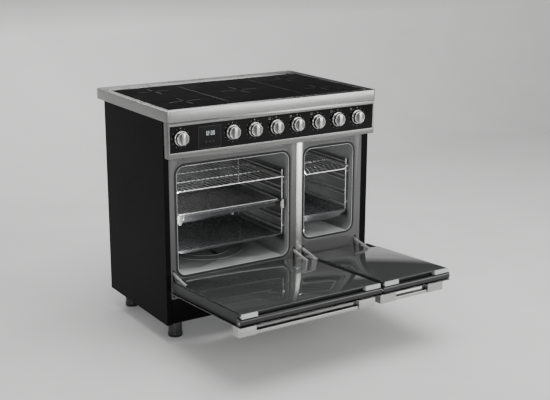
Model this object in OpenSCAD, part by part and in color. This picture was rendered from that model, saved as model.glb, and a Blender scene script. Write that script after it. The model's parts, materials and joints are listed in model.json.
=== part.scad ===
// Free-standing range cooker: glass induction hob, two ovens with drop-down doors, storage flap.
// Millimetres, +Z up, the front faces -Y. Origin: centre of the bounding box, on the floor.
// Rest pose: both oven doors open, as in the photograph; shelves, trays and storage flap closed.

/* [Overall size] */
// Width over the worktop
cooker_w = 900; // [800:5:1100]
// Depth of the worktop, front to back
cooker_d = 600; // [560:5:650]
// Height from the floor to the top of the worktop
cooker_h = 870; // [860:1:930]
// Height of the feet, which is also the underside of the body
feet_h = 73; // [70:1:90]
// Diameter of the feet
foot_d = 55; // [40:1:60]
// Distance of the feet's axes from the sides of the worktop
foot_in = 68; // [50:1:110]
// Distance of the front feet's axes behind the oven fronts
foot_front = 68; // [50:1:110]
// Distance of the rear feet's axes from the rear of the body
foot_rear = 48; // [40:1:80]
// Thickness of the sheet metal of the body
sheet_t = 1.5; // [1:0.1:2]
// Width of the front edge of the left side panel
return_l = 20; // [15:1:30]
// Width of the front edge of the right side panel
return_r = 30; // [20:1:40]

/* [Worktop] */
// Height of the worktop edge
worktop_h = 40; // [30:1:50]
// How far the worktop stands in front of the oven fronts
worktop_front = 42; // [38:1:60]
// Depth of the rear rim of the worktop, behind the glass
rear_rim = 88; // [60:1:120]
// Width of the left rim of the worktop
rim_left = 23; // [15:1:40]
// Width of the front and right rims of the worktop
rim = 30; // [15:1:40]
// Thickness of the hob glass
glass_t = 5.5; // [4:0.1:6]
// How far the worktop overhangs the body at the rear
rear_overhang = 68; // [0:1:90]
// Corner radius of the worktop
worktop_r = 10; // [4:1:20]
// Diameter of the front coils of the hob
front_coil_d = 180; // [140:5:210]
// Diameter of the rear coils of the hob
rear_coil_d = 145; // [120:5:180]
// Diameter of the middle coil of the hob
middle_coil_d = 230; // [160:5:260]
// Thickness of the coils of the hob
coil_h = 12; // [6:1:14]

/* [Control panel] */
// Height of the control panel
control_h = 130; // [110:1:150]
// Distance from the left end of the black window to knob 1
knob_1_in = 43; // [36:1:60]
// Distance from knob 1 to the timer
timer_in = 70; // [50:1:80]
// Width of the timer
timer_w = 91; // [70:1:110]
// Height of the timer
timer_h = 78; // [50:1:80]
// Distance from the timer to knob 2
knob_2_in = 47.4; // [36:0.1:60]
// Distance from the right end of the black window to knob 8
knob_8_in = 75.4; // [36:0.1:90]
// Diameter of the skirt of each knob
knob_d = 55; // [44:1:66]
// Diameter of the grip of each knob
grip_d = 47; // [36:1:52]
// How far a knob stands out of the fascia
knob_proud = 26; // [20:1:36]
// Diameter of the knob stems
stem_d = 6; // [5:0.5:8]
// Width of the bar across each knob
knob_bar = 12; // [8:1:16]
// Width of the switches behind the knobs
switch_w = 36; // [24:1:44]
// Height of the switches behind the knobs
switch_h = 40; // [24:1:44]

/* [Ovens] */
// Distance from the middle of the cooker to the gap between the doors
split_x = 136; // [60:1:180]
// Width of the stainless strip between the ovens
strip_w = 26; // [16:1:40]
// Height of the floor of the main oven
main_floor = 258; // [250:1:300]
// Height of the floor of the side oven
side_floor = 311; // [300:1:330]
// Height of the ceiling of both ovens
ceiling = 660; // [640:1:670]
// Depth of the ovens behind the front frames
oven_d = 430; // [400:1:440]
// Corner radius of the ovens
oven_r = 30; // [15:1:40]
// Wall thickness of the oven liners
liner_t = 1.6; // [1:0.1:2]
// Diameter of the rack wires
wire_d = 5; // [4:0.5:6]
// Clear height between the two wires of a rack level
level_gap = 12.5; // [11:0.1:16]
// Height of the lowest rack level of the main oven
main_level = 335; // [330:1:345]
// Spacing of the rack levels of the main oven
main_pitch = 55.5; // [50:0.5:56]
// Height of the lowest rack level of the side oven
side_level = 386; // [370:1:390]
// Spacing of the rack levels of the side oven
side_pitch = 59; // [50:0.5:60]
// How far shelves and trays stop behind the front frames when pushed in
shelf_in = 16; // [12:1:30]
// Depth of the tray on the runners
runner_tray_h = 18; // [12:1:50]
// Depth of the baking tray of the main oven
flat_tray_h = 10; // [8:1:40]
// Depth of the tray of the side oven
small_tray_h = 24; // [12:1:40]
// How far the pressed panels of the liners' side walls are set out
panel_out = 6; // [2:0.5:10]
// How far the front bar of the side oven's shelf dips
shelf_dip = 13; // [0:1:20]
// Spacing of the thin wires of the shelves
shelf_pitch = 20; // [14:1:40]
// Width of the fan cover
cover_w = 300; // [240:5:380]
// Height of the fan cover
cover_h = 260; // [220:5:320]
// How far the fan cover stands off the rear wall
cover_d = 36; // [30:1:40]
// Diameter of the fan
fan_d = 150; // [120:1:170]
// Diameter of the grill tubes
tube_d = 6.5; // [6:0.1:8]

/* [Doors] */
// Height of the closed doors' bottom edge
door_z = 205; // [203:1:208]
// Height of the closed doors
door_h = 489; // [480:1:491]
// Thickness of the doors
door_t = 46; // [44:1:50]
// Gap between a closed door and the front frame
seal_gap = 3; // [2.5:0.1:4]
// Width of the door seals around the oven openings
seal_w = 8; // [6:0.5:8]
// Distance of the door seals from the edge of the oven openings
seal_in = 2.5; // [1:0.5:2.5]
// Opening angle of the doors in the rest pose
door_open = 86.16; // [60:0.01:90]
// Distance between the two doors
door_gap = 4; // [3:0.5:8]
// Thickness of the outer and inner door glass
pane_t = 4; // [3:0.1:5]
// Length of the end blocks of the handles
block_l = 70; // [40:1:90]
// Height of the handles
handle_h = 34; // [24:1:40]
// How far the handles stand out of the doors
handle_out = 42; // [36:1:50]
// Thickness of the bar of the handles
bar_t = 11; // [8:1:14]
// Distance from the top of a door to its handle
handle_drop = 31; // [20:1:60]
// Height of the black strip behind the handle
trim_h = 24; // [15:1:30]
// Depth of the black strip and of the corner plates
trim_d = 25.5; // [20:0.5:36]
// How far the inner glass stops before the free end of a door
glass_in = 7.5; // [5:0.5:12]
// Length of the corner plates
plate_l = 62; // [40:1:80]

/* [Storage] */
// Height of the storage flap
flap_h = 92; // [80:1:92]
// Thickness of the storage flap
flap_t = 18; // [14:1:20]
// Distance from the rear of the body to the storage box
storage_back = 38; // [30:1:120]

/* [Mains inlet] */
// Distance from the middle of the cooker to the inlet, on its left
inlet_x = 220; // [100:1:300]
// Height of the underside of the terminal box
terminal_z = 160; // [140:1:300]
// Width and height of the terminal box
terminal_w = 90; // [70:1:120]
// How far the terminal box stands behind the body
terminal_d = 34; // [30:1:50]
// Bore of the cable gland
gland_d = 20; // [12:1:24]

/* [Hidden] */
$fn = 32;
fit = 0.3;
run = 0.1;
hw = cooker_w / 2;
side_x = hw - 2;
door_x = hw - 4;
con_x = side_x - 2;
win_x = con_x - 6;
strip_x0 = split_x - 24;
strip_x1 = strip_x0 + strip_w;
mf_x0 = -side_x + return_l;
mf_x1 = strip_x0;
sf_x0 = strip_x1;
sf_x1 = side_x - return_r;
mc_x0 = mf_x0 + 31;
mc_x1 = mf_x1 - 37;
sc_x0 = sf_x0 + 11;
sc_x1 = sf_x1 - 42;
main_cx = (mc_x0 + mc_x1) / 2;
side_cx = (sc_x0 + sc_x1) / 2;
main_half = (mc_x1 - mc_x0) / 2;
side_half = (sc_x1 - sc_x0) / 2;
// Heights
body_z = feet_h;
flap_z0 = body_z + 3.5;
flap_z1 = flap_z0 + flap_h;
under_z = cooker_h - worktop_h;
control_z = under_z - control_h;
frame_z0 = flap_z0 + flap_h + 1.5;
win_z0 = control_z + 21;
win_z1 = under_z - 15;
plate_t = 2;
// Depths, measured from the front frames' face, positive to the rear
top_y0 = -worktop_front;
top_y1 = top_y0 + cooker_d;
rear_y = top_y1 - rear_overhang;
control_y = top_y0 + 3.5;
fascia_y = control_y + 0.5;
fascia_t = 3;
// Door pose: hinge axis, and the planes of the closed door
seal_y = -seal_gap;
door_y = seal_y - door_t;
axis_in = 35;
axis_up = 12;
hinge_y = seal_y - axis_in;
hinge_z = door_z + axis_up;
door_z1 = door_z + door_h;
reach_a = (door_t - axis_in) * cos(door_open);
reach = -hinge_y + (door_h - axis_up) * sin(door_open) + reach_a;
// The front frames' face in the part's own frame: the box is centred on the origin
y_frame = (reach - top_y1) / 2;
main_hinge_l = mf_x0 + 12;
main_hinge_r = mf_x1 - 8;
side_hinge_l = sf_x0 + 8;
side_hinge_r = sf_x1 - 22;
slot_z0 = hinge_z - 41;
slot_z1 = hinge_z + 64;
// Racks
rack_v = wire_d + wire_d / 2 - 2.5;
rack_h = rack_v + wire_d;
rack_y0 = 35;
rack_y1 = oven_d - 50;
fan_z = (main_floor + ceiling) / 2;
ring_r = fan_d / 2 + 17;
fan_y = oven_d - cover_d;
grill_z = ceiling - 20;
knob_z = control_z + 71.5;
flap_ax_z = flap_z0 + flap_t / 2;
flap_ax_y = flap_t / 2;
flap_x0 = mf_x0 + 2;
flap_x1 = sf_x1 - 2;
pin_d = 6;
knob_1_x = knob_1_in - win_x;
timer_x0 = knob_1_x + timer_in;
timer_x1 = timer_x0 + timer_w;
timer_z0 = control_z + (control_h - timer_h) / 2;
timer_z1 = timer_z0 + timer_h;
knob_2_x = timer_x1 + knob_2_in;
knob_pitch = (win_x - knob_8_in - knob_2_x) / 6;
tray_in_y = fan_y - 10;

STEEL = [0.78, 0.78, 0.77];
DARK = [0.10, 0.10, 0.11];
GREY = [0.55, 0.55, 0.56];
ENAMEL = [0.22, 0.22, 0.24];
GLASS = [0.05, 0.05, 0.06];
ZINC = [0.70, 0.71, 0.72];

// Everything below is drawn from the front frames' face and then moved into place
module placed() {
    translate([0, y_frame, 0]) children();
}

module opened() {
    placed()
        translate([0, hinge_y, hinge_z])
        rotate([door_open, 0, 0])
        translate([0, -hinge_y, -hinge_z])
        children();
}

module box(x0, x1, y0, y1, z0, z1) {
    translate([x0, y0, z0]) cube([x1 - x0, y1 - y0, z1 - z0]);
}

module rod_x(d, x0, x1, y, z) {
    translate([x0, y, z]) rotate([0, 90, 0]) cylinder(d = d, h = x1 - x0);
}

module rod_y(d, y0, y1, x, z) {
    translate([x, y1, z]) rotate([90, 0, 0]) cylinder(d = d, h = y1 - y0);
}

module rod_z(d, z0, z1, x, y) {
    translate([x, y, z0]) cylinder(d = d, h = z1 - z0);
}

module round_rect(w, h, r) {
    square([w - 2 * r, h], center = true);
    square([w, h - 2 * r], center = true);
    for (sx = [-1, 1], sy = [-1, 1])
        translate([sx * (w / 2 - r), sy * (h / 2 - r)]) circle(r = r);
}

// Rounded block whose round edges run front to back
module block_y(x0, x1, y0, y1, z0, z1, r) {
    translate([(x0 + x1) / 2, y1, (z0 + z1) / 2])
        rotate([90, 0, 0])
        linear_extrude(height = y1 - y0)
        round_rect(x1 - x0, z1 - z0, r);
}

// Rounded block whose round edges stand upright
module block_z(x0, x1, y0, y1, z0, z1, r) {
    translate([(x0 + x1) / 2, (y0 + y1) / 2, z0])
        linear_extrude(height = z1 - z0)
        round_rect(x1 - x0, y1 - y0, r);
}

// ---------------------------------------------------------------- worktop and hob
glass_x0 = -hw + rim_left;
glass_x1 = hw - rim;
glass_y0 = top_y0 + rim;
glass_y1 = top_y1 - rear_rim;
ledge_z = cooker_h - glass_t;
zone_xs = [glass_x0 + front_coil_d / 2 + 40, glass_x1 - front_coil_d / 2 - 40];
zone_y0 = glass_y0 + front_coil_d / 2 + 40;
zone_y1 = glass_y1 - rear_coil_d / 2 - 32.5;

module worktop_frame() {
    color(STEEL) placed() difference() {
        union() {
            difference() {
                block_z(-hw, hw, top_y0, top_y1, under_z, cooker_h, worktop_r);
                block_z(-hw + 2, hw - 2, top_y0 + 2, top_y1 - 2, under_z - 1, cooker_h - 2,
                    worktop_r - 2);
            }
            box(glass_x0 - 2, glass_x1 + 2, glass_y0 - 2, glass_y1 + 2, ledge_z - 2, cooker_h - 1);
        }
        box(glass_x0, glass_x1, glass_y0, glass_y1, ledge_z, cooker_h + 1);
        box(glass_x0 + 10, glass_x1 - 10, glass_y0 + 10, glass_y1 - 10, ledge_z - 3, cooker_h);
    }
}

module hob_glass() {
    color(GLASS) placed()
        block_z(glass_x0 + 0.5, glass_x1 - 0.5, glass_y0 + 0.5, glass_y1 - 0.5, ledge_z, cooker_h, 4);
}

module coil(d, x, y) {
    translate([x, y, ledge_z - coil_h]) difference() {
        cylinder(d = d, h = coil_h);
        translate([0, 0, -1]) cylinder(d = d / 4, h = coil_h + 2);
    }
}

module induction_unit() {
    color(GREY) placed() {
        difference() {
            box(glass_x0 + 2, glass_x1 - 2, glass_y0 + 2, glass_y1 - 2, under_z + 2, ledge_z - 2);
            box(glass_x0 + 4, glass_x1 - 4, glass_y0 + 4, glass_y1 - 4, under_z + 4, ledge_z);
        }
        for (x = zone_xs) {
            coil(front_coil_d, x, zone_y0);
            coil(rear_coil_d, x, zone_y1);
            rod_z(front_coil_d / 6, under_z + 4, ledge_z - coil_h, x + front_coil_d / 5, zone_y0);
            rod_z(rear_coil_d / 6, under_z + 4, ledge_z - coil_h, x + rear_coil_d / 5, zone_y1);
        }
        coil(middle_coil_d, (glass_x0 + glass_x1) / 2, (glass_y0 + glass_y1) / 2);
        rod_z(middle_coil_d / 6, under_z + 4, ledge_z - coil_h,
            (glass_x0 + glass_x1) / 2 + middle_coil_d / 5, (glass_y0 + glass_y1) / 2);
    }
}

// ---------------------------------------------------------------- control panel
module control_surround() {
    color(STEEL) placed() difference() {
        box(-con_x, con_x, control_y, 0, control_z, under_z);
        box(-con_x + sheet_t, con_x - sheet_t, control_y + sheet_t, 1,
            control_z + sheet_t, under_z - sheet_t);
        box(-win_x, win_x, control_y - 1, control_y + 5, win_z0, win_z1);
    }
}

module knob_places() {
    translate([knob_1_x, 0, knob_z]) children();
    for (i = [0 : 6])
        translate([knob_2_x + knob_pitch * i, 0, knob_z]) children();
}

module control_fascia() {
    color(DARK) placed() difference() {
        union() {
            box(-win_x + fit, win_x - fit, fascia_y, fascia_y + fascia_t, win_z0 + fit, win_z1 - fit);
            box(-win_x - 3, win_x + 3, control_y + sheet_t, fascia_y + fascia_t,
                win_z0 - 6, win_z1 + 6);
        }
        knob_places() rod_y(stem_d + 4, fascia_y - 1, fascia_y + fascia_t + 1, 0, 0);
        box(timer_x0, timer_x1, fascia_y - 1, fascia_y + fascia_t + 1, timer_z0, timer_z1);
    }
}

module timer_display() {
    color(GLASS) placed() {
        box(timer_x0 + fit, timer_x1 - fit, fascia_y + 0.2, fascia_y + fascia_t,
            timer_z0 + fit, timer_z1 - fit);
        box(timer_x0 - 2, timer_x1 + 2, fascia_y + fascia_t, fascia_y + fascia_t + 18,
            timer_z0 - 2, timer_z1 + 2);
    }
}

module knob_switches() {
    color(ZINC) placed() knob_places() difference() {
        box(-switch_w / 2, switch_w / 2, fascia_y + fascia_t, -4, -switch_h / 2, switch_h / 2);
        rod_y(stem_d + 2 * run, fascia_y, fascia_y + fascia_t + 20, 0, 0);
    }
}

// Knob: skirt, round grip with a raised bar, a pointer lug, and the stem into its switch
module knob() {
    color(STEEL) placed() {
        translate([0, fascia_y - 0.4, 0]) rotate([90, 0, 0]) rotate_extrude()
            polygon([[0, 0], [knob_d / 2, 0], [knob_d / 2 - 1.5, 6], [grip_d / 2, 7],
                [grip_d / 2 - 1.5, knob_proud - 8], [grip_d / 2 - 4, knob_proud - 6.5],
                [0, knob_proud - 6.5]]);
        box(-knob_bar / 2, knob_bar / 2, fascia_y - knob_proud, fascia_y - knob_proud + 8,
            -grip_d / 2 + 4, grip_d / 2 - 4);
        box(-knob_d / 2 + 1, -grip_d / 2 + 3, fascia_y - 9, fascia_y - 4, -2.5, 2.5);
        rod_y(stem_d, fascia_y - 2, fascia_y + fascia_t + 18, 0, 0);
    }
}

module knob_at(x) {
    translate([x, 0, knob_z]) knob();
}

module knob_1() { knob_at(knob_1_x); }
module knob_2() { knob_at(knob_2_x); }
module knob_3() { knob_at(knob_2_x + knob_pitch); }
module knob_4() { knob_at(knob_2_x + knob_pitch * 2); }
module knob_5() { knob_at(knob_2_x + knob_pitch * 3); }
module knob_6() { knob_at(knob_2_x + knob_pitch * 4); }
module knob_7() { knob_at(knob_2_x + knob_pitch * 5); }
module knob_8() { knob_at(knob_2_x + knob_pitch * 6); }

// ---------------------------------------------------------------- body
module side_sheet(s, ret) {
    color(DARK) placed() scale_x(s) {
        box(side_x - sheet_t, side_x, 0, rear_y, body_z, cooker_h - 2);
        box(side_x - ret, side_x, 0, sheet_t, body_z, under_z - 1);
        box(side_x - 15, side_x, rear_y - sheet_t, rear_y, body_z, cooker_h - 2);
    }
}

module scale_x(s) {
    if (s > 0) children();
    else mirror([1, 0, 0]) children();
}

module side_panel_left() { side_sheet(-1, return_l); }
module side_panel_right() { side_sheet(1, return_r); }

vent_pitch = cooker_w / 19.5;
vent_x0 = -6 * vent_pitch;

module back_panel() {
    color(ZINC) placed() difference() {
        box(-side_x + sheet_t, side_x - sheet_t, rear_y - 2 * sheet_t, rear_y - sheet_t,
            body_z + 2, cooker_h - 2);
        for (i = [0 : 11])
            box(vent_x0 + i * vent_pitch, vent_x0 + i * vent_pitch + vent_pitch * 0.65,
                rear_y - 10, rear_y + 1, control_z, control_z + 6);
        box(-inlet_x - terminal_w / 3, -inlet_x + terminal_w / 3, rear_y - 10, rear_y + 1,
            terminal_z + 10, terminal_z + terminal_w / 2);
    }
}

pan_x = side_x - sheet_t;
pan_y0 = flap_t + 10;
pan_h = 18;
rail_h = 13;
foot_x = hw - foot_in;
foot_ys = [foot_front, rear_y - foot_rear];

module base_pan() {
    color(ZINC) placed() difference() {
        union() {
            difference() {
                box(-pan_x, pan_x, pan_y0, rear_y - 2 * sheet_t, body_z, body_z + pan_h);
                box(-pan_x + 2, pan_x - 2, pan_y0 + 2, rear_y - 2 * sheet_t - 2, body_z + 2,
                    body_z + pan_h + 1);
                box(flap_x0, flap_x1, pan_y0 - 1, pan_y0 + 3, body_z + rail_h, body_z + pan_h + 1);
            }
            for (s = [-1, 1]) scale_x(s)
                box(hw / 2 - 25, hw / 2 - 5, pan_y0 + 12, rear_y - storage_back - 20,
                    body_z + 2, body_z + rail_h);
            for (x = [flap_x0 - 3.5, flap_x1 + 1.5])
                box(x, x + 2, 3, pan_y0 + 4, body_z + 2, body_z + pan_h);
        }
        for (s = [-1, 1], y = foot_ys)
            rod_z(11, body_z - 1, body_z + 4, s * foot_x, y);
        rod_x(pin_d + 2 * run, -hw, hw, flap_ax_y, flap_ax_z);
    }
}

module feet() {
    color(DARK) placed() for (s = [-1, 1], y = foot_ys)
        translate([s * foot_x, y, 0]) rotate_extrude()
            polygon([[0, 0], [foot_d / 2 - 1.5, 0], [foot_d / 2, 2], [foot_d / 2, 14],
                [foot_d / 2 - 2, 16], [foot_d / 2 - 2, feet_h], [5, feet_h],
                [5, feet_h + rail_h - 2], [0, feet_h + rail_h - 2]]);
}

// A front frame with its oven opening and the slots for the hinge arms
module front_frame(x0, x1, cx0, cx1, cz0, cz1, h1, h2) {
    color(GREY) placed() difference() {
        union() {
            box(x0, x1, 0, plate_t, frame_z0, under_z - 1);
            block_y(cx0 + 26, cx1 - 15, -1.4, 0.5, ceiling + 20, ceiling + 31, 5);
        }
        block_y(cx0, cx1, -2, plate_t + 1, cz0, cz1, oven_r);
        for (h = [h1, h2]) {
            box(h - 5.5, h + 4.5, -1, plate_t + 1, slot_z0, slot_z1);
        }
        screw_places(cx0, cx1, cz1) rod_y(4.2, -1, plate_t + 1, 0, 0);
        box(x0 + 60, x1 - 60, -1, plate_t + 1, control_z + 20, under_z - 20);
    }
}

module screw_places(cx0, cx1, cz1) {
    for (x = [cx0 + 12, cx1 - 12]) translate([x, 0, cz1 + 14]) children();
}

module main_front_frame() {
    front_frame(mf_x0, mf_x1, mc_x0, mc_x1, main_floor, ceiling, main_hinge_l, main_hinge_r);
}

module side_front_frame() {
    front_frame(sf_x0, sf_x1, sc_x0, sc_x1, side_floor, ceiling, side_hinge_l, side_hinge_r);
}

module centre_strip() {
    color(STEEL) placed() difference() {
        box(strip_x0 + 0.2, strip_x1 - 0.2, -1, 9, frame_z0, control_z);
        box(strip_x0 + 1.7, strip_x1 - 1.7, 0.5, 10, frame_z0 - 1, control_z + 1);
    }
}

module screw_at() {
    rod_y(8, -1.6, 0, 0, 0);
    rod_y(4, -0.5, 9, 0, 0);
}

module frame_screws() {
    color(STEEL) placed() {
        screw_places(mc_x0, mc_x1, ceiling) screw_at();
        screw_places(sc_x0, sc_x1, ceiling) screw_at();
    }
}

// ---------------------------------------------------------------- ovens
// Pressed panel in both side walls of an oven, which leaves room for the racks
module side_panels(x0, x1, z0, grow) {
    box(x0 - panel_out - grow, x1 + panel_out + grow, 28 - grow, oven_d - 28 + grow,
        z0 + 46 - grow, ceiling - 68 + grow);
}

module liner(x0, x1, z0) {
    difference() {
        union() {
            block_y(x0 - liner_t, x1 + liner_t, plate_t, oven_d + liner_t,
                z0 - liner_t, ceiling + liner_t, oven_r + liner_t);
            side_panels(x0, x1, z0, liner_t);
            box(x0 - 8, x1 + 8, plate_t, plate_t + 1.5, z0 - 8, ceiling + 20);
        }
        block_y(x0, x1, plate_t - 1, oven_d, z0, ceiling, oven_r);
        side_panels(x0, x1, z0, 0);
        screw_places(x0, x1, ceiling) rod_y(4, 0, 9, 0, 0);
    }
}

module floor_ring(r) {
    translate([main_cx, oven_d * 0.556, main_floor - 0.5]) difference() {
        cylinder(r = r + 3, h = 2, $fn = 64);
        translate([0, 0, -1]) cylinder(r = r - 3, h = 4, $fn = 64);
    }
}

module main_cavity() {
    color(ENAMEL) placed() {
        difference() {
            liner(mc_x0, mc_x1, main_floor);
            rod_y(14, oven_d - 5, oven_d + 5, main_cx, fan_z);
            for (s = [-1, 1])
                rod_y(tube_d + 1, oven_d - 5, oven_d + 5, main_cx + s * 12, fan_z - ring_r);
        }
        floor_ring(main_half * 0.623);
        floor_ring(main_half * 0.419);
    }
}

module side_cavity() {
    color(ENAMEL) placed() liner(sc_x0, sc_x1, side_floor);
}

module seal(x0, x1, z0) {
    out = seal_in + seal_w;
    color(DARK) placed() difference() {
        block_y(x0 - out, x1 + out, -seal_gap + fit, 0, z0 - out, ceiling + out, oven_r + out);
        block_y(x0 - seal_in, x1 + seal_in, -seal_gap, 1, z0 - seal_in, ceiling + seal_in,
            oven_r + seal_in);
        screw_places(x0, x1, ceiling) rod_y(9, -4, 1, 0, 0);
    }
}

module main_gasket() { seal(mc_x0, mc_x1, main_floor); }
module side_gasket() { seal(sc_x0, sc_x1, side_floor); }

cover_t = 1.5;

module fan_cover() {
    color(ENAMEL) placed() difference() {
        block_y(main_cx - cover_w / 2, main_cx + cover_w / 2, fan_y, oven_d,
            fan_z - cover_h / 2, fan_z + cover_h / 2, 20);
        block_y(main_cx - cover_w / 2 + cover_t, main_cx + cover_w / 2 - cover_t,
            fan_y + cover_t, oven_d + 1,
            fan_z - cover_h / 2 + cover_t, fan_z + cover_h / 2 - cover_t, 20 - cover_t);
        for (a = [0 : 30 : 330])
            translate([main_cx, 0, fan_z]) rotate([0, a, 0])
                block_y(fan_d * 0.15, fan_d * 0.4, fan_y - 1, fan_y + 5, -4, 4, 3.9);
        for (s = [-1, 1], i = [-3 : 3])
            translate([main_cx + s * (cover_w / 2 - 25), 0, fan_z + i * cover_h / 8])
                block_y(-4, 4, fan_y - 1, fan_y + 5, -cover_h / 26, cover_h / 26, 3.9);
    }
}

module fan_impeller() {
    color(ZINC) placed() translate([main_cx, 0, fan_z]) {
        rod_y(fan_d, oven_d - 10, oven_d - 8.5, 0, 0);
        rod_y(24, oven_d - cover_d + 10, oven_d - 10, 0, 0);
        rod_y(8, oven_d - 12, oven_d + 32, 0, 0);
        for (a = [0 : 45 : 315]) rotate([0, a, 0])
            box(fan_d / 2 - 35, fan_d / 2 - 3, oven_d - cover_d + 10, oven_d - 10, -0.8, 0.8);
    }
}

module fan_motor() {
    color(ZINC) placed() difference() {
        union() {
            rod_y(fan_d / 2, oven_d + liner_t + 6, oven_d + liner_t + 34, main_cx, fan_z);
            for (a = [45, 135, 225, 315])
                translate([main_cx, 0, fan_z]) rotate([0, a, 0])
                    box(fan_d * 0.2, fan_d * 0.32, oven_d + liner_t, oven_d + liner_t + 8, -6, 6);
        }
        rod_y(8 + 2 * run, oven_d, oven_d + liner_t + 31, main_cx, fan_z);
    }
}

module ring_element() {
    color(ZINC) placed() {
        translate([main_cx, oven_d - 17, fan_z]) rotate([90, 0, 0])
            rotate_extrude($fn = 48) translate([ring_r, 0]) circle(d = tube_d, $fn = 16);
        for (s = [-1, 1])
            rod_y(tube_d - 0.5, oven_d - 17, oven_d + 18, main_cx + s * 12, fan_z - ring_r);
    }
}

grill_y = oven_d / 6;

// Heating tube bent into a hairpin, its ends in the rear wall
module hairpin(x, w) {
    for (s = [-1, 1]) rod_y(tube_d, grill_y + w / 2, oven_d, x + s * w / 2, grill_z);
    translate([x, grill_y + w / 2, grill_z]) rotate([0, 0, 180])
        rotate_extrude(angle = 180, $fn = 48) translate([w / 2, 0]) circle(d = tube_d, $fn = 16);
}

module grill_elements() {
    color(ZINC) placed() {
        for (i = [-1 : 1]) hairpin(main_cx + i * main_half * 0.5, main_half * 0.28);
        for (s = [-1, 1]) hairpin(side_cx + s * side_half * 0.42, side_half * 0.42);
    }
}

module lamp(x, z) {
    translate([x, oven_d, z]) rotate([90, 0, 0]) rotate_extrude()
        polygon([[0, 0], [24, 0], [24, 3], [20, 4], [16, 9], [0, 11]]);
}

module oven_lamps() {
    color(STEEL) placed() {
        lamp(main_cx - main_half + 40, ceiling - 60);
        lamp(side_cx - side_half + 45, ceiling - 60);
    }
}

// Ladder rack of one side wall: two upright wires, pairs of level wires and four fixing studs
module ladder(cx, half, z0, pitch, n, s) {
    xv = cx + s * (half - rack_v);
    xh = cx + s * (half - rack_h + 0.6);
    xw = cx + s * (half + panel_out);
    lo = z0 - 2;
    hi = z0 + pitch * (n - 1) + level_gap + wire_d + 12;
    for (y = [rack_y0, rack_y1 - 20]) rod_z(wire_d, lo, hi, xv, y);
    for (i = [0 : n - 1], k = [0, 1])
        rod_y(wire_d, rack_y0 - 6, rack_y1, xh, z0 + i * pitch + k * (level_gap + wire_d));
    for (y = [rack_y0, rack_y1 - 20], z = [z0 + 30, hi - 50])
        rod_x(8, min(xv, xw), max(xv, xw), y, z);
}

module main_racks() {
    color(STEEL) placed() for (s = [-1, 1])
        ladder(main_cx, main_half, main_level, main_pitch, 5, s);
}

module side_racks() {
    color(STEEL) placed() for (s = [-1, 1])
        ladder(side_cx, side_half, side_level, side_pitch, 4, s);
}

// Clear half width between the level wires, and the widest a shelf may be between the uprights
main_clear = main_half - rack_h - wire_d / 2 + 0.6;
main_wide = main_half - rack_v - wire_d / 2 - 0.5;
side_clear = side_half - rack_h - wire_d / 2 + 0.6;
side_wide = side_half - rack_v - wire_d / 2 - 0.5;
shelf_z = main_level + 4 * main_pitch + wire_d / 2 + fit + 3;
side_shelf_z = side_level + 3 * side_pitch + wire_d / 2 + fit + 3;

// Wire shelf: a frame of thick rods with thin wires from front to rear
module wire_shelf(cx, wide, z, dip) {
    xr = wide - 3;
    n = floor(2 * (xr - 12) / shelf_pitch) + 1;
    step = 2 * (xr - 12) / (n - 1);
    y0 = shelf_in + 4;
    bend = dip > 0 ? 30 : -4;
    for (s = [-1, 1]) rod_y(6, shelf_in, tray_in_y, cx + s * xr, z);
    for (k = [1 : 3])
        rod_x(5, cx - xr, cx + xr, y0 + k * (tray_in_y - 4 - y0) / 3, z);
    rod_x(5, cx - xr + dip, cx + xr - dip, y0, z - dip);
    for (i = [0 : n - 1])
        rod_y(3, y0 + bend, tray_in_y, cx - xr + 12 + i * step, z + 3.4);
    if (dip > 0) {
        for (s = [-1, 1])
            translate([cx + s * xr, y0, z]) rotate([0, s * 225, 0])
                cylinder(d = 5, h = dip * sqrt(2) + 1);
        // The thin wires slope down to the dipped bar
        for (i = [0 : n - 1]) {
            drop = min(dip, 12 + i * step, 12 + (n - 1 - i) * step);
            translate([cx - xr + 12 + i * step, y0, z - drop])
                rotate([-atan2(bend, drop + 3.4), 0, 0])
                cylinder(d = 2.4, h = norm([bend, drop + 3.4]) + 0.3);
        }
    }
}

module main_shelf() {
    color(STEEL) placed() wire_shelf(main_cx, main_wide, shelf_z, 0);
}

module side_shelf() {
    color(STEEL) placed() wire_shelf(side_cx, side_wide, side_shelf_z, shelf_dip);
}

// Tray with a rim that rides between the two wires of a level
module tray(cx, body, wide, z, deep) {
    difference() {
        union() {
            block_z(cx - body, cx + body, shelf_in + 10, tray_in_y - 10, z - deep, z + 1, 22);
            block_z(cx - wide, cx + wide, shelf_in, tray_in_y, z, z + 1.5, 12);
        }
        block_z(cx - body + 1.2, cx + body - 1.2, shelf_in + 11.2, tray_in_y - 11.2,
            z - deep + 1.2, z + 3, 20.8);
    }
}

module baking_tray() {
    color(ENAMEL) placed()
        tray(main_cx, main_clear - 6, main_wide, main_level + wire_d / 2 + fit, flat_tray_h);
}

// The front edge of the small tray hangs down in a shallow arc
apron_half = side_clear - 6;
apron_r = (apron_half * apron_half + 22 * 22) / 44;

module side_tray() {
    z = side_level + wire_d / 2 + fit;
    color(ENAMEL) placed() {
        tray(side_cx, side_clear - 6, side_wide, z, small_tray_h);
        intersection() {
            box(side_cx - apron_half, side_cx + apron_half, shelf_in, shelf_in + 1.2, z - 30, z + 1);
            translate([side_cx, shelf_in + 2, z - 26 + apron_r]) rotate([90, 0, 0])
                cylinder(r = apron_r, h = 3, $fn = 128);
        }
    }
}

// Telescopic runner of the deep tray, on the middle level
run_z0 = main_level + 2 * main_pitch - 4;
run_z1 = run_z0 + 32;
run_x = main_clear;
run_w = 9;

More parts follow.
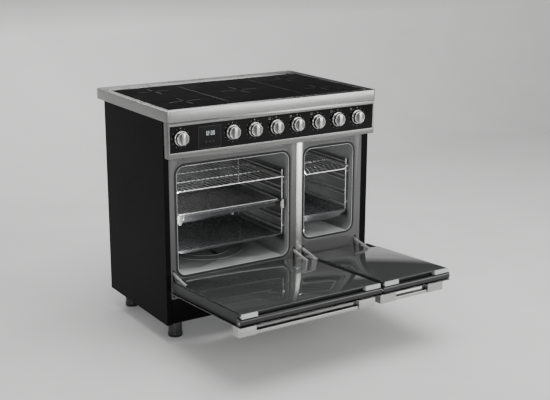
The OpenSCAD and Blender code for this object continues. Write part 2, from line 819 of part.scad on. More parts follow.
module runner_rails() {
    color(ZINC) placed() for (s = [-1, 1])
        translate([main_cx, 0, 0]) scale_x(s) difference() {
            box(run_x - run_w, run_x, shelf_in + 6, rack_y1 - 10, run_z0, run_z1);
            box(run_x - run_w - 1, run_x - 3, shelf_in + 5, rack_y1 - 9, run_z0 + 4, run_z1 - 4);
        }
}

module runner_slides() {
    color(STEEL) placed() for (s = [-1, 1])
        translate([main_cx, 0, 0]) scale_x(s) {
            box(run_x - run_w - 4, run_x - 3.5, shelf_in - 4, rack_y1 - 20,
                run_z0 + 4.5, run_z1 - 4.5);
            box(run_x - run_w, run_x - 1, shelf_in - 6, shelf_in + 2, run_z0, run_z1 + 2);
        }
}

module roasting_tray() {
    color(ENAMEL) placed()
        tray(main_cx, run_x - run_w - 10, run_x - run_w - 0.5, run_z1 - 4.5, runner_tray_h);
}

// Grid that lies on the rim of the deep tray: cross bars below, long bars on top of them
module tray_mesh() {
    gx = run_x - run_w - 4;
    gy0 = shelf_in + 14;
    gy1 = tray_in_y - 6;
    gz = run_z1 - 3;
    color(STEEL) placed() translate([main_cx, 0, 0]) {
        for (i = [0 : 6])
            box(-gx, gx, gy0 + i * (gy1 - gy0 - 3) / 6, gy0 + 3 + i * (gy1 - gy0 - 3) / 6, gz, gz + 2);
        for (i = [0 : 16])
            box(-gx + i * (gx - 1) / 8, -gx + 2 + i * (gx - 1) / 8, gy0, gy1, gz + 2.1, gz + 4);
    }
}

// ---------------------------------------------------------------- hinges
// Bracket fixed in the body, which carries the hinge pin in front of the frame
module receiver(h) {
    difference() {
        box(h - 7.8, h + 5.5, plate_t, plate_t + 36, slot_z0 - 2, slot_z1 + 5);
        box(h - 5.8, h + 3.5, plate_t - 1, plate_t + 34, slot_z0, slot_z1 + 3);
    }
    difference() {
        union() {
            box(h + 0.5, h + 3.5, hinge_y, plate_t + 34, hinge_z - 6, hinge_z + 6);
            rod_x(12, h + 0.5, h + 3.5, hinge_y, hinge_z);
        }
        rod_x(pin_d + 2 * run, h - 1, h + 5, hinge_y, hinge_z);
    }
}

module hinge_receivers() {
    color(ZINC) placed() for (h = [main_hinge_l, main_hinge_r, side_hinge_l, side_hinge_r])
        receiver(h);
}

// Arm, two cheeks and pin of one hinge, drawn with the door closed
module hinge_arm(h) {
    translate([h, hinge_y, hinge_z]) {
        translate([-4.5, 0, 0]) rotate([90, 0, 90]) linear_extrude(height = 4)
            polygon([[20, 30], [20, 60], [axis_in, 60], [59.6, -37], [49, -37.6], [36, 30]]);
        translate([-6.5, 0, 0]) rotate([90, 0, 90]) linear_extrude(height = 2.5)
            polygon([[-6, -10], [26, -10], [33, 0], [33, 62], [-6, 62]]);
        translate([4, 0, 0]) rotate([90, 0, 90]) linear_extrude(height = 2)
            polygon([[-6, -10], [26, -10], [33, 0], [33, 62], [-6, 62]]);
        rod_x(pin_d, -6.5, 6, 0, 0);
        rod_x(5, -6.5, 6, 10, 52);
    }
}

module main_hinges() {
    color(STEEL) opened() for (h = [main_hinge_l, main_hinge_r]) hinge_arm(h);
}

module side_hinges() {
    color(STEEL) opened() for (h = [side_hinge_l, side_hinge_r]) hinge_arm(h);
}

// ---------------------------------------------------------------- doors, drawn closed
md_x0 = -door_x;
md_x1 = split_x - door_gap / 2;
sd_x0 = split_x + door_gap / 2;
sd_x1 = door_x;
trim_z = door_z1 - trim_h;
trim_y1 = door_y + pane_t + trim_d;
notch_z = hinge_z + 66;

module hinge_notches(h1, h2, y0, y1) {
    for (h = [h1, h2]) box(h - 7, h + 6.5, y0, y1, door_z - 1, notch_z);
}

module door_frame(x0, x1, h1, h2) {
    color(GREY) opened() {
        difference() {
            union() {
                box(x0 + 8, x1 - 8, door_y + pane_t, seal_y - pane_t, door_z + 3, trim_z - 0.5);
                box(x0 + 8, x1 - 8, seal_y - pane_t - 1.5, seal_y - pane_t,
                    door_z + 3, door_z1 - glass_in - 0.5);
            }
            box(x0 + 10, x1 - 10, door_y + pane_t + 2, seal_y + 1, door_z + 5, trim_z - 2.5);
            box(x0 + 60, x1 - 60, door_y, door_y + 10, door_z + 90, trim_z - 60);
            hinge_notches(h1, h2, door_y + pane_t, seal_y + 1);
        }
        // Corner plates of the free end, wrapped over the edge of the inner glass
        for (e = [x0 + 8, x1 - 8 - plate_l]) {
            box(e, e + plate_l, trim_y1, seal_y - pane_t, trim_z + 2, door_z1 - 2);
            box(e, e + plate_l, trim_y1, seal_y - 1.5, door_z1 - glass_in + fit, door_z1 - 2);
        }
    }
}

module outer_glass(x0, x1) {
    color(GLASS) opened()
        block_y(x0, x1, door_y, door_y + pane_t, door_z, door_z1, 5);
}

module inner_glass(x0, x1, h1, h2) {
    color(GLASS) opened() {
        box(x0 + 12, x1 - 12, seal_y - pane_t, seal_y, notch_z + 1, door_z1 - glass_in);
        box(h1 + 9, h2 - 9, seal_y - pane_t, seal_y, door_z + 8, notch_z + 1);
    }
}

module door_trim(x0, x1) {
    color(DARK) opened() difference() {
        box(x0 + 2, x1 - 2, door_y + pane_t, trim_y1, trim_z, door_z1 - 1);
        box(x0 + 4, x1 - 4, door_y + pane_t + 2, trim_y1 - 2, trim_z - 1, door_z1 - 3);
    }
}

module handle(x0, x1) {
    z1 = door_z1 - handle_drop;
    z0 = z1 - handle_h;
    color(STEEL) opened() {
        for (x = [x0 + 10, x1 - 10 - block_l])
            block_z(x, x + block_l, door_y - handle_out, door_y, z0, z1, 2);
        block_y(x0 + 10 + block_l - 1, x1 - 10 - block_l + 1, door_y - handle_out,
            door_y - handle_out + bar_t, z0 + 5, z1 - 5, 4);
    }
}

module main_door_frame() { door_frame(md_x0, md_x1, main_hinge_l, main_hinge_r); }
module main_door_glass() { outer_glass(md_x0, md_x1); }
module main_inner_glass() { inner_glass(md_x0, md_x1, main_hinge_l, main_hinge_r); }
module main_door_trim() { door_trim(md_x0, md_x1); }
module main_handle() { handle(md_x0, md_x1); }
module side_door_frame() { door_frame(sd_x0, sd_x1, side_hinge_l, side_hinge_r); }
module side_door_glass() { outer_glass(sd_x0, sd_x1); }
module side_inner_glass() { inner_glass(sd_x0, sd_x1, side_hinge_l, side_hinge_r); }
module side_door_trim() { door_trim(sd_x0, sd_x1); }
module side_handle() { handle(sd_x0, sd_x1); }

// ---------------------------------------------------------------- storage compartment
module storage_box() {
    color(ZINC) placed() difference() {
        box(flap_x0 + 6, flap_x1 - 6, pan_y0, rear_y - storage_back, body_z + rail_h, flap_z1);
        box(flap_x0 + 6 + sheet_t, flap_x1 - 6 - sheet_t, pan_y0 - 1, rear_y - storage_back - sheet_t,
            body_z + rail_h + sheet_t, flap_z1 - sheet_t);
    }
}

module storage_flap() {
    color(DARK) placed() {
        difference() {
            box(flap_x0, flap_x1, 0, flap_t, flap_z0, flap_z1);
            box(flap_x0 + 2, flap_x1 - 2, 2, flap_t + 1, flap_z0 + 16, flap_z1 - 2);
        }
        rod_x(pin_d, flap_x0 - 5, flap_x1 + 5, flap_ax_y, flap_ax_z);
    }
}

// ---------------------------------------------------------------- mains inlet
terminal_z1 = terminal_z + terminal_w;
terminal_t = 3;
gland_l = 14;
gland_y = rear_y + 16;

module terminal_box() {
    color(DARK) placed() translate([-inlet_x, 0, 0]) difference() {
        union() {
            box(-terminal_w / 2, terminal_w / 2, rear_y - sheet_t, rear_y + terminal_d,
                terminal_z, terminal_z1);
            rod_z(gland_d + 10, terminal_z - gland_l, terminal_z + 2, 0, gland_y);
        }
        box(-terminal_w / 2 + terminal_t, terminal_w / 2 - terminal_t, rear_y + sheet_t,
            rear_y + terminal_d - terminal_t, terminal_z + terminal_t, terminal_z1 - terminal_t);
        rod_z(gland_d, terminal_z - gland_l - 1, terminal_z + terminal_t + 1, 0, gland_y);
    }
}

worktop_frame();
hob_glass();
induction_unit();
control_surround();
control_fascia();
timer_display();
knob_switches();
side_panel_left();
side_panel_right();
back_panel();
base_pan();
main_front_frame();
side_front_frame();
centre_strip();
main_cavity();
side_cavity();
main_gasket();
side_gasket();
fan_cover();
fan_motor();
fan_impeller();
ring_element();
grill_elements();
oven_lamps();
main_racks();
side_racks();
runner_rails();
runner_slides();
roasting_tray();
tray_mesh();
main_shelf();
baking_tray();
side_shelf();
side_tray();
hinge_receivers();
main_hinges();
side_hinges();
main_door_frame();
main_door_glass();
main_inner_glass();
main_door_trim();
main_handle();
side_door_frame();
side_door_glass();
side_inner_glass();
side_door_trim();
side_handle();
storage_box();
storage_flap();
feet();
terminal_box();
frame_screws();
knob_1();
knob_2();
knob_3();
knob_4();
knob_5();
knob_6();
knob_7();
knob_8();
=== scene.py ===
"""Looks of the range cooker: camera and studio, materials, softened casings and small parts."""

import json
import math

import bmesh
import bpy
from mathutils import Matrix, Vector


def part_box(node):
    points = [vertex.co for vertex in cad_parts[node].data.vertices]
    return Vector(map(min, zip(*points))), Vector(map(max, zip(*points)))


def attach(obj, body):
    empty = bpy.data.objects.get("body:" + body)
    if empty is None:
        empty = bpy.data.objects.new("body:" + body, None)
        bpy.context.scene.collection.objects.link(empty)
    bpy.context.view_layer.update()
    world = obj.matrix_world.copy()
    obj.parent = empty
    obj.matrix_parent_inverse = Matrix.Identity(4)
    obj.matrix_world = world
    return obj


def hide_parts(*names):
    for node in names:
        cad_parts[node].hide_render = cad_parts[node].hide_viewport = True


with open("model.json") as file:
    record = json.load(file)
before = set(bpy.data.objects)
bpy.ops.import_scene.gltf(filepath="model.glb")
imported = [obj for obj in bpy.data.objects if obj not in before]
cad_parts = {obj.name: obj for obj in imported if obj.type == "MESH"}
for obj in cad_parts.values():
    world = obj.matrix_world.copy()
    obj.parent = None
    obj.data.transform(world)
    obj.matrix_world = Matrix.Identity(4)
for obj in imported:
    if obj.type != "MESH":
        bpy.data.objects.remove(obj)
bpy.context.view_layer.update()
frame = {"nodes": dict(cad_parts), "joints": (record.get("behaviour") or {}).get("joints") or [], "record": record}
NODES = frame["nodes"]
BODY_OF = {n: b for b, ns in frame["record"]["behaviour"]["bodies"].items() for n in ns}
SLOT_OF = {p["node"]: p["material_slot"] for p in frame["record"]["subparts"]}
MM = 0.001
WELD = 2 * MM * MM  # vertices nearer than this are one

# The front frames' face and the doors' hinge line and pose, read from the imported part
FRAME_PLATE = 2.0  # how thick the front frames are, in mm
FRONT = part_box("main_front_frame")[1].y - FRAME_PLATE * MM
FRONT_MM = FRONT / MM
HINGE = next(j for j in frame["joints"] if j["name"] == "main_door_hinge")
SWING = math.radians(HINGE["range_deg"][1])
PIVOT = Vector((0, HINGE["pos_m"][1], HINGE["pos_m"][2]))
OPENED = Matrix.Translation(PIVOT) @ Matrix.Rotation(SWING, 4, "X") @ Matrix.Translation(-PIVOT)
SHUT = OPENED.inverted()

# The photograph's camera, fitted to straight edges of the object
CAMERA_PLACE = (-2.064359, -3.258567, 1.532805)
CAMERA_TURN = (-32.7298, 15.27799, 0.1718)  # to the side, down, and about its own axis, in degrees
CAMERA_LENS, SENSOR_WIDTH = 69.2747, 36.0  # mm


# ------------------------------------------------------------------ small helpers
def srgb(hex_code):
    """An sRGB hex colour as the linear numbers that Blender's sockets take."""
    parts = [int(hex_code[i : i + 2], 16) / 255 for i in (1, 3, 5)]
    return [c / 12.92 if c <= 0.04045 else ((c + 0.055) / 1.055) ** 2.4 for c in parts] + [1.0]


def add(tree, kind, links=None, **settings):
    """Adds a node, sets its own settings, and fills its inputs with numbers or with other sockets."""
    made = tree.nodes.new(kind)
    for name, value in settings.items():
        setattr(made, name, value)
    for key, value in (links or {}).items():
        socket = made.inputs[key]
        if isinstance(value, bpy.types.NodeSocket):
            tree.links.new(value, socket)
        else:
            socket.default_value = value
    return made


def material(name, **shader):
    """A material with its Principled shader, whose sockets are named with underscores for spaces."""
    made = bpy.data.materials.new(name)
    made.use_nodes = True
    bsdf = made.node_tree.nodes["Principled BSDF"]
    for key, value in shader.items():
        bsdf.inputs[key.replace("_", " ")].default_value = value
    return made, made.node_tree, bsdf


def pattern(tree, scale, detail, stretch=(1, 1, 1), roughness=0.5):
    """Noise on Object coordinates; stretch is how many times finer it is along each axis."""
    where = add(tree, "ShaderNodeTexCoord").outputs["Object"]
    laid = add(tree, "ShaderNodeMapping", {"Vector": where, "Scale": stretch}).outputs["Vector"]
    return add(tree, "ShaderNodeTexNoise", {"Vector": laid, "Scale": scale, "Detail": detail,
                                            "Roughness": roughness}).outputs["Fac"]


def between(tree, value, low, high, start=0.3, end=0.7):
    """value, spread from start..end to low..high."""
    return add(tree, "ShaderNodeMapRange", {"Value": value, "From Min": start, "From Max": end,
                                            "To Min": low, "To Max": high}).outputs["Result"]


def two_tone(tree, value, dark, light, start=0.3, end=0.7):
    """A colour that runs from dark to light as value runs from start to end."""
    ramp = add(tree, "ShaderNodeValToRGB", {"Fac": value})
    ramp.color_ramp.elements[0].position, ramp.color_ramp.elements[1].position = start, end
    ramp.color_ramp.elements[0].color, ramp.color_ramp.elements[1].color = srgb(dark), srgb(light)
    return ramp.outputs["Color"]


def relief(tree, bsdf, height, depth, strength):
    """Bump of a real depth in metres."""
    bump = add(tree, "ShaderNodeBump", {"Height": height, "Distance": depth, "Strength": strength})
    tree.links.new(bump.outputs["Normal"], bsdf.inputs["Normal"])


# ------------------------------------------------------------------ materials
def brushed_steel(name, grain, dark, light, rough=(0.24, 0.36)):
    """Brushed stainless steel: fine parallel lines, a soft long highlight across them."""
    made, tree, bsdf = material(name, Metallic=1.0)
    # Real brush lines are about 0.2 mm apart; they are drawn 1.5 mm apart so that they show
    stretch = {"x": (3, 420, 420), "y": (420, 3, 420), "z": (420, 420, 3)}[grain]
    lines = pattern(tree, 1.6, 3, stretch)
    cloudy = pattern(tree, 9, 2)
    tree.links.new(two_tone(tree, lines, dark, light, 0.2, 0.8), bsdf.inputs["Base Color"])
    tree.links.new(between(tree, cloudy, *rough), bsdf.inputs["Roughness"])
    relief(tree, bsdf, lines, 0.00004, 0.35)
    return made


def enamel(name, dark, light, rough=(0.16, 0.26), fleck=0.0):
    """Vitreous enamel on steel: glossy, slightly wavy, sometimes with pale flecks."""
    made, tree, bsdf = material(name, IOR=1.5)
    waves = pattern(tree, 60, 2)
    colour = two_tone(tree, pattern(tree, 7, 3), dark, light)
    if fleck:
        # Flecks of about 1.5 mm, as the real ones
        spots = pattern(tree, 650, 1, roughness=0.4)
        mask = between(tree, spots, 0.0, 1.0, 0.66, 0.72)
        faint = add(tree, "ShaderNodeMath", {0: mask, 1: fleck}, operation="MULTIPLY").outputs["Value"]
        mix = add(tree, "ShaderNodeMix", {"Factor": faint}, data_type="RGBA")
        tree.links.new(colour, mix.inputs[6])
        mix.inputs[7].default_value = srgb("#9A9B9D")
        colour = mix.outputs[2]
    tree.links.new(colour, bsdf.inputs["Base Color"])
    tree.links.new(between(tree, waves, *rough), bsdf.inputs["Roughness"])
    relief(tree, bsdf, waves, 0.00002, 0.4)
    return made


def powder_coat(name, dark, light, rough=(0.4, 0.52), shine=0.1):
    """Baked satin paint on sheet steel: a faint orange-peel texture."""
    made, tree, bsdf = material(name, IOR=1.48, Specular_IOR_Level=shine)
    peel = pattern(tree, 320, 2)
    tree.links.new(two_tone(tree, pattern(tree, 4, 2), dark, light), bsdf.inputs["Base Color"])
    tree.links.new(between(tree, peel, *rough), bsdf.inputs["Roughness"])
    relief(tree, bsdf, peel, 0.00008, 0.45)
    return made


def ceramic_glass(name, dark, light, rough=(0.05, 0.11), shine=0.25):
    """Black glass ceramic: mirror-like, with a breath of wiped smears."""
    made, tree, bsdf = material(name, IOR=1.52, Specular_IOR_Level=shine)
    smears = pattern(tree, 6, 4, (1, 3, 1))
    tree.links.new(two_tone(tree, pattern(tree, 900, 1), dark, light, 0.4, 0.8), bsdf.inputs["Base Color"])
    tree.links.new(between(tree, smears, *rough), bsdf.inputs["Roughness"])
    return made


def clear_glass(name, tint, rough=(0.02, 0.05), through=1.0):
    """Tinted float glass with a sharp reflection; through below 1 leaves a metal coat's grey haze."""
    made, tree, bsdf = material(name, IOR=1.5, Transmission_Weight=through)
    smears = pattern(tree, 5, 3)
    bsdf.inputs["Base Color"].default_value = srgb(tint)
    tree.links.new(between(tree, smears, *rough), bsdf.inputs["Roughness"])
    return made


def chrome_wire(name, dark, light, rough=(0.12, 0.24)):
    """Chromed or polished steel wire: bright, slightly uneven."""
    made, tree, bsdf = material(name, Metallic=1.0)
    uneven = pattern(tree, 120, 2)
    tree.links.new(two_tone(tree, uneven, dark, light), bsdf.inputs["Base Color"])
    tree.links.new(between(tree, uneven, *rough), bsdf.inputs["Roughness"])
    relief(tree, bsdf, uneven, 0.00004, 0.3)
    return made


def galvanised(name):
    """Hot-dip galvanised sheet: grey zinc crystals of 10 mm or so."""
    made, tree, bsdf = material(name, Metallic=1.0)
    where = add(tree, "ShaderNodeTexCoord").outputs["Object"]
    spangle = add(tree, "ShaderNodeTexVoronoi", {"Vector": where, "Scale": 95}).outputs["Color"]
    value = add(tree, "ShaderNodeSeparateColor", {"Color": spangle}).outputs["Red"]
    tree.links.new(two_tone(tree, value, "#8B8E91", "#B4B7BA", 0, 1), bsdf.inputs["Base Color"])
    tree.links.new(between(tree, value, 0.38, 0.55, 0, 1), bsdf.inputs["Roughness"])
    return made


def moulded(name, dark, light, rough=(0.25, 0.38)):
    """Injection-moulded or phenolic plastic with a fine grain."""
    made, tree, bsdf = material(name, IOR=1.5)
    grain = pattern(tree, 800, 2)
    tree.links.new(two_tone(tree, pattern(tree, 20, 2), dark, light), bsdf.inputs["Base Color"])
    tree.links.new(between(tree, grain, *rough), bsdf.inputs["Roughness"])
    relief(tree, bsdf, grain, 0.00004, 0.4)
    return made


def braided_rope(name):
    """Door seal: a braided glass-fibre rope, dull and dark, with a diagonal weave of 1 mm."""
    made, tree, bsdf = material(name, IOR=1.45)
    where = add(tree, "ShaderNodeTexCoord").outputs["Object"]
    turned = add(tree, "ShaderNodeMapping", {"Vector": where, "Rotation": (0, 0.785, 0)}).outputs["Vector"]
    weave = add(tree, "ShaderNodeTexWave", {"Vector": turned, "Scale": 320, "Distortion": 1.5}).outputs["Fac"]
    tree.links.new(two_tone(tree, weave, "#121212", "#2C2C2D", 0.1, 0.9), bsdf.inputs["Base Color"])
    tree.links.new(between(tree, weave, 0.55, 0.8, 0, 1), bsdf.inputs["Roughness"])
    relief(tree, bsdf, weave, 0.0004, 0.6)
    return made


def glowing(name, colour, strength):
    """Lit segments of a display behind glass; a faint unevenness from its light guide."""
    made, tree, bsdf = material(name, Roughness=0.3, Emission_Strength=strength)
    uneven = two_tone(tree, pattern(tree, 500, 1), "#B8C0C2", colour)
    tree.links.new(uneven, bsdf.inputs["Emission Color"])
    tree.links.new(uneven, bsdf.inputs["Base Color"])
    return made


STEEL_X = brushed_steel("brushed_stainless_lengthwise", "x", "#9C9C9A", "#B8B8B6", (0.27, 0.33))
# The surround and the worktop are darker copies of the same stainless steel: painted shade
SURROUND = brushed_steel("brushed_stainless_surround_painted_shade", "x", "#5F5F5E", "#8C8C8A", (0.2, 0.3))
WORKTOP = brushed_steel("brushed_stainless_worktop_painted_shade", "x", "#7C7C7B", "#989897", (0.25, 0.32))
# The centre strip's steel is a paler copy of the same stainless: a painted highlight
STEEL_Z = brushed_steel("brushed_stainless_upright_painted_highlight", "z", "#CBCBC8", "#E6E6E3", (0.3, 0.4))
SPUN = brushed_steel("spun_stainless_knob", "z", "#A2A2A0", "#D0D0CE", (0.14, 0.24))
FINISH = {
    "stainless_steel": STEEL_X,
    "hob_glass": ceramic_glass("glass_ceramic_hob", "#070708", "#121213", shine=0.14),
    "tinted_glass": clear_glass("tinted_float_glass", "#545556"),
    "display_glass": ceramic_glass("display_window_glass", "#060607", "#0D0D0F", (0.06, 0.1), 0.13),
    "lamp_glass": clear_glass("frosted_lamp_glass", "#F0EEE6", (0.25, 0.4)),
    "black_enamel": powder_coat("black_satin_enamel", "#0A0A0B", "#101011", shine=0.04),
    "dark_enamel": enamel("dark_vitreous_enamel", "#3A3B3C", "#454647", (0.2, 0.3)),
    "grey_enamel": enamel("grey_vitreous_enamel", "#4F4F4F", "#555555", (0.28, 0.33)),
    "galvanised_steel": galvanised("galvanised_sheet"),
    "bright_wire": chrome_wire("chromed_wire", "#C4C4C3", "#E6E6E5", (0.26, 0.36)),
    "heater_sheath": chrome_wire("oxidised_heater_sheath", "#4A4744", "#6A6662", (0.4, 0.6)),
    "seal": braided_rope("braided_door_seal"),
    "black_plastic": moulded("black_phenolic_moulding", "#101011", "#1A1A1B", (0.18, 0.3)),
    "switch_plastic": moulded("pale_switch_moulding", "#B9B7AE", "#C9C7BE"),
    "coil_aluminium": galvanised("coil_carrier_sheet"),
}
FASCIA = ceramic_glass("black_fascia_glass", "#050506", "#0B0B0C", (0.08, 0.14), 0.1)
PRINT = moulded("pale_ceramic_print", "#8F8F8E", "#A6A6A5", (0.4, 0.55))
ZONE_PRINT = moulded("grey_zone_print", "#262627", "#343435", (0.35, 0.5))
BLACK_PRINT = enamel("black_border_print", "#0C0C0D", "#141415", (0.08, 0.14))
DIGITS = glowing("lit_display_segments", "#D2D8DA", 0.36)
PLATE = powder_coat("light_grey_corner_plate", "#A6A7A8", "#B6B7B8", (0.3, 0.42))
LINER = enamel("grey_oven_liner_enamel", "#686969", "#747575", (0.3, 0.4), 0.08)
# The knob's dished face in a darker copy of the knob's spun steel: painted shade, so that the bar stands out
DISH = brushed_steel("dished_knob_face_painted_shade", "z", "#747472", "#9A9A98", (0.28, 0.4))
# The oven mouth's lip in a paler copy of the liner enamel: a painted highlight along the opening's edge
LIP = enamel("enamel_edge_painted_highlight", "#9A9C9E", "#AEB0B2", (0.2, 0.3))
DOOR_METAL = powder_coat("satin_painted_door_metal", "#323334", "#3B3C3D", (0.34, 0.44))
# The hinge arms' steel, much paler than the stainless it stands for: a painted highlight
ZINC_ARM = chrome_wire("hinge_steel_painted_highlight", "#DCDCDB", "#F0F0EF", (0.48, 0.6))
# The rack wire: rougher than the chromed wire, which is its satin finish, and a paler copy of it, which is painted
# highlight
RACK_WIRE = chrome_wire("satin_rack_wire_painted_highlight", "#DADAD8", "#F0F0EE", (0.42, 0.52))
# The grid's fine wires in a darker copy of the rack wire: painted shade
GRID_WIRE = chrome_wire("grid_wire_painted_shade", "#8E8E8D", "#A8A8A7", (0.3, 0.4))
SCREW = chrome_wire("blackened_screw_steel", "#4A4A49", "#6B6B6A", (0.3, 0.42))
HAZY_GLASS = clear_glass("heat_reflecting_inner_glass", "#686969", (0.03, 0.06), 0.7)

for name, obj in NODES.items():
    obj.data.materials.clear()
    obj.data.materials.append(FINISH[SLOT_OF[name]])


# ------------------------------------------------------------------ camera, light and floor
def studio():
    """Camera at the photograph's angle, a pale floor and backdrop, and soft lamps."""
    yaw, pitch, roll = (math.radians(a) for a in CAMERA_TURN)
    ahead = Vector((-math.sin(yaw) * math.cos(pitch), math.cos(yaw) * math.cos(pitch), -math.sin(pitch)))
    right = Vector((math.cos(yaw), math.sin(yaw), 0))
    up = right.cross(ahead)
    right, up = (right * math.cos(roll) + up * math.sin(roll), up * math.cos(roll) - right * math.sin(roll))
    turn = Matrix((right, up, -ahead)).transposed().to_4x4()
    lens = bpy.data.cameras.new("photo_camera")
    lens.sensor_width, lens.lens = SENSOR_WIDTH, CAMERA_LENS
    lens.clip_start, lens.clip_end = 0.1, 60
    camera = bpy.data.objects.new("photo_camera", lens)
    camera.matrix_world = Matrix.Translation(CAMERA_PLACE) @ turn
    bpy.context.scene.collection.objects.link(camera)
    bpy.context.scene.camera = camera

    def lamp(name, place, aim, size, power):
        light = bpy.data.lights.new(name, "AREA")
        light.shape, light.size, light.size_y, light.energy = "RECTANGLE", size[0], size[1], power
        obj = bpy.data.objects.new(name, light)
        obj.location = place
        obj.rotation_mode = "QUATERNION"
        obj.rotation_quaternion = (Vector(aim) - Vector(place)).to_track_quat("-Z", "Y")
        bpy.context.scene.collection.objects.link(obj)

    lamp("key_softbox", (2.5, -3.6, 1.35), (0, 0, 0.5), (2.4, 2.2), 95)
    lamp("fill_softbox", (-2.5, -3.9, 1.25), (0, 0, 0.5), (1.2, 1.2), 55)
    lamp("top_softbox", (0.2, -0.6, 3.6), (0, 0, 0.5), (3.0, 2.4), 85)
    # Behind and above: it brightens the rims, and the glass doesn't mirror it into the camera
    lamp("rim_softbox", (0.4, 2.7, 2.3), (0, 0, 0.85), (2.4, 0.6), 36)

    # Lit ovens: a narrow upright lamp inside the left edge of each mouth, which looks in and to the right
    for name, seal, power in (("main_oven_light", "main_gasket", 1.4),
                              ("side_oven_light", "side_gasket", 0.45)):
        low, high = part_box(seal)
        middle = (low.z + high.z) / 2
        lamp(name, (low.x + 0.018, FRONT + 0.008, middle), (high.x, FRONT + 0.26, middle - 0.03),
             (0.02, (high.z - low.z) * 0.8), power)

    world = bpy.data.worlds.new("studio_air")
    bpy.context.scene.world = world
    world.use_nodes = True
    tree = world.node_tree
    tree.nodes.clear()
    rays = add(tree, "ShaderNodeLightPath").outputs
    seen = add(tree, "ShaderNodeMath", {0: rays["Is Camera Ray"], 1: rays["Is Transmission Ray"]},
               operation="MAXIMUM").outputs["Value"]
    # White where the camera sees it, dimmer as a source of light and in mirrors
    power = add(tree, "ShaderNodeMath", {0: seen, 1: 0.6}, operation="MAXIMUM")
    air = add(tree, "ShaderNodeBackground", {"Color": srgb("#F4F4F4"), "Strength": power.outputs["Value"]})
    add(tree, "ShaderNodeOutputWorld", {"Surface": air.outputs["Background"]})

    mesh = bpy.data.meshes.new("studio_floor")
    side, front, back, rise, bend = 7.0, -6.0, 3.2, 5.0, 1.2
    rows = [(front, 0.0)] + [(back - bend + bend * math.sin(a), bend - bend * math.cos(a))
                             for a in (math.radians(d) for d in range(0, 91, 6))] + [(back, rise)]
    points = [(x, y, z) for y, z in rows for x in (-side, side)]
    mesh.from_pydata(points, [], [(2 * i, 2 * i + 1, 2 * i + 3, 2 * i + 2) for i in range(len(rows) - 1)])
    mesh.shade_smooth()
    floor = bpy.data.objects.new("studio_floor", mesh)
    bpy.context.scene.collection.objects.link(floor)
    made, tree, bsdf = material("pale_studio_paper", Roughness=0.9)
    # Pale underfoot; the backdrop darkens above the picture's edge, so that the black glass stays black
    paper = two_tone(tree, pattern(tree, 3, 2), "#E4E4E3", "#E9E9E8")
    where = add(tree, "ShaderNodeTexCoord").outputs["Object"]
    up = add(tree, "ShaderNodeSeparateXYZ", {"Vector": where}).outputs["Z"]
    mix = add(tree, "ShaderNodeMix", {"Factor": between(tree, up, 0.0, 1.0, 0.8, 1.35)}, data_type="RGBA")
    tree.links.new(paper, mix.inputs[6])
    mix.inputs[7].default_value = srgb("#2C2C2C")
    tree.links.new(mix.outputs[2], bsdf.inputs["Base Color"])
    mesh.materials.append(made)


studio()


# ------------------------------------------------------------------ making pieces
def piece(name, bm, mat, body, replaces=(), smooth=30):
    """Turns a bmesh in the part's frame into a finished piece that rides on a body."""
    mesh = bpy.data.meshes.new(name)
    bm.to_mesh(mesh)
    bm.free()
    mesh.materials.append(mat)
    if smooth:
        mesh.shade_smooth()
        mesh.set_sharp_from_angle(angle=math.radians(smooth))
    obj = bpy.data.objects.new(name, mesh)
    bpy.context.scene.collection.objects.link(obj)
    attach(obj, body)
    if replaces:
        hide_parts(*replaces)
    return obj


def merged_copy(node):
    """A node's mesh with its loose triangles joined and its flat faces made whole."""
    bm = bmesh.new()
    bm.from_mesh(NODES[node].data)
    bmesh.ops.remove_doubles(bm, verts=bm.verts, dist=WELD)
    bmesh.ops.dissolve_limit(bm, angle_limit=math.radians(0.6), verts=bm.verts, edges=bm.edges)
    return bm


def softened(node, width, mat=None, segments=2, angle=35):
    """The same casing with its sharp edges rounded by width metres, in place of the node."""
    bm = merged_copy(node)
    sharp = [e for e in bm.edges if len(e.link_faces) == 2
             and e.calc_face_angle(0) > math.radians(angle)]
    bmesh.ops.bevel(bm, geom=sharp, offset=width, offset_type="OFFSET", segments=segments,
                    profile=0.5, affect="EDGES", clamp_overlap=True)
    bmesh.ops.remove_doubles(bm, verts=bm.verts, dist=WELD / 2)
    return piece(node + "_rounded", bm, mat or FINISH[SLOT_OF[node]], BODY_OF[node],
                 (node,))


def closed_box(node):
    """Lowest and highest corner of a door's node, in millimetres, as it is with the door shut."""
    points = [SHUT @ v.co for v in NODES[node].data.vertices]
    return [Vector([f(p[i] for p in points) / MM for i in range(3)]) for f in (min, max)]


def block(bm, low, high, rounding=0.0, segments=2):
    """A box between two corners in millimetres, its edges rounded."""
    made = bmesh.ops.create_cube(bm, size=1)["verts"]
    for v in made:
        v.co = Vector([(low[i] + (v.co[i] + 0.5) * (high[i] - low[i])) * MM for i in range(3)])
    if rounding:
        edges = [e for e in bm.edges if e.verts[0] in made and e.verts[1] in made]
        bmesh.ops.bevel(bm, geom=edges, offset=rounding * MM, offset_type="OFFSET",
                        segments=segments, profile=0.5, affect="EDGES", clamp_overlap=True)


def rounded_path(x0, x1, z0, z1, r, steps=9):
    """Points and outward directions around a rounded rectangle, in millimetres."""
    path = []
    corners = ((x1 - r, z1 - r), (x0 + r, z1 - r), (x0 + r, z0 + r), (x1 - r, z0 + r))
    for quarter, (cx, cz) in enumerate(corners):
        for k in range(steps + 1):
            a = math.radians(90 * (quarter + k / steps))
            path.append((cx + r * math.cos(a), cz + r * math.sin(a), math.cos(a), math.sin(a)))
    return path


